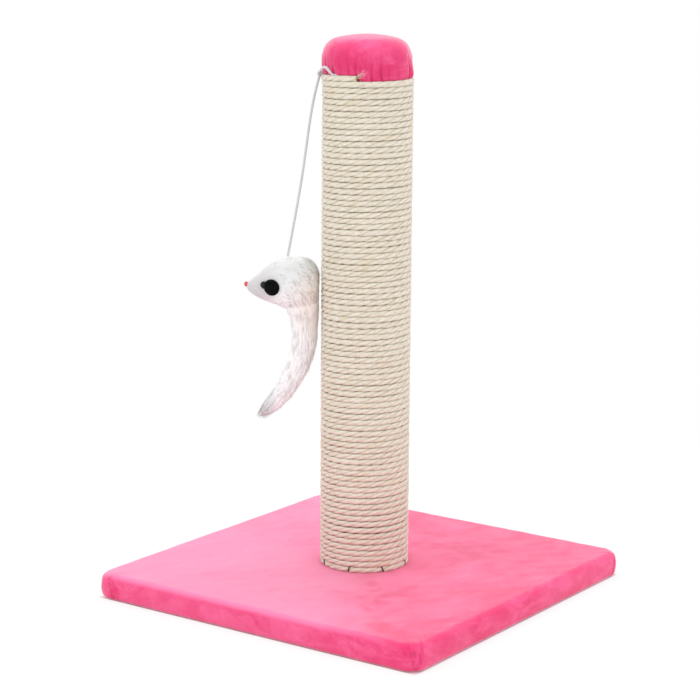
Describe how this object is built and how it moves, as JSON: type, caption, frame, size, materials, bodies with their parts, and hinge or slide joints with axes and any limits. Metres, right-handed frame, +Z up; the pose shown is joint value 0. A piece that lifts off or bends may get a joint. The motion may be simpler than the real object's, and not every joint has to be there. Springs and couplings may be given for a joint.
{
  "type": "cat scratching post",
  "caption": "Square plush-covered base with an upright post wound in sisal rope, a padded plush cap, and a fur mouse with a tail hung from the rim on an elastic cord.",
  "frame": {"origin": "middle of the square base's underside, on the floor", "axes": "+Z up along the post, X and Y along the base's sides"},
  "size_m": [0.308, 0.308, 0.447],
  "materials": {
    "board_mdf": "raw fibreboard",
    "plush_pink": "short pile plush",
    "liner_felt": "thin non-woven cloth",
    "steel": "zinc plated",
    "staple_dark": "dark wire",
    "plug_pine": "turned softwood",
    "tube_card": "spiral wound",
    "sisal": "twisted natural fibre",
    "foam": "open cell foam",
    "elastic_white": "braided elastic",
    "core_plastic": "moulded",
    "fur_white": "short fur",
    "eye_black": "polished",
    "nose_red": "polished"
  },
  "bodies": {
    "root": {"base_board": "board_mdf", "base_cover": "plush_pink", "base_liner": "liner_felt", "hem_staples": "steel", "post_bolt": "steel", "bolt_washer": "steel", "t_nut": "steel", "bottom_plug": "plug_pine", "post_tube": "tube_card", "top_plug": "plug_pine", "sisal_rope": "sisal", "rope_staples": "staple_dark", "cap_disc": "board_mdf", "cap_screws": "steel", "cap_foam": "foam", "cap_cover": "plush_pink", "cord_loop": "elastic_white", "cord_staple": "steel"},
    "knot": {"top_knot": "elastic_white"},
    "cord": {"elastic_cord": "elastic_white"},
    "mouse": {"lower_knot": "elastic_white", "mouse_core": "core_plastic", "mouse_body": "fur_white", "mouse_eyes": "eye_black", "mouse_nose": "nose_red"},
    "tail": {"mouse_tail": "fur_white"}
  },
  "joints": [
    {"name": "lure_swing_side", "type": "hinge", "parent": "root", "child": "knot", "pos_m": [-0.0302, -0.02138, 0.4166], "axis": [-0.8161, -0.5779, 0], "range_deg": [-60, 60]},
    {"name": "lure_swing_out", "type": "hinge", "parent": "knot", "child": "cord", "pos_m": [-0.0302, -0.02138, 0.4166], "axis": [-0.5779, 0.8161, 0], "range_deg": [0, 80]},
    {"name": "mouse_spin", "type": "hinge", "parent": "cord", "child": "mouse", "pos_m": [-0.05101, -0.03612, 0.2714], "axis": [0.1501, 0.1063, 0.9829], "range_deg": [-90, 90]},
    {"name": "tail_flex", "type": "hinge", "parent": "mouse", "child": "tail", "pos_m": [-0.03918, -0.02774, 0.221], "axis": [-0.5779, 0.8161, 0], "range_deg": [0, 30]}
  ]
}
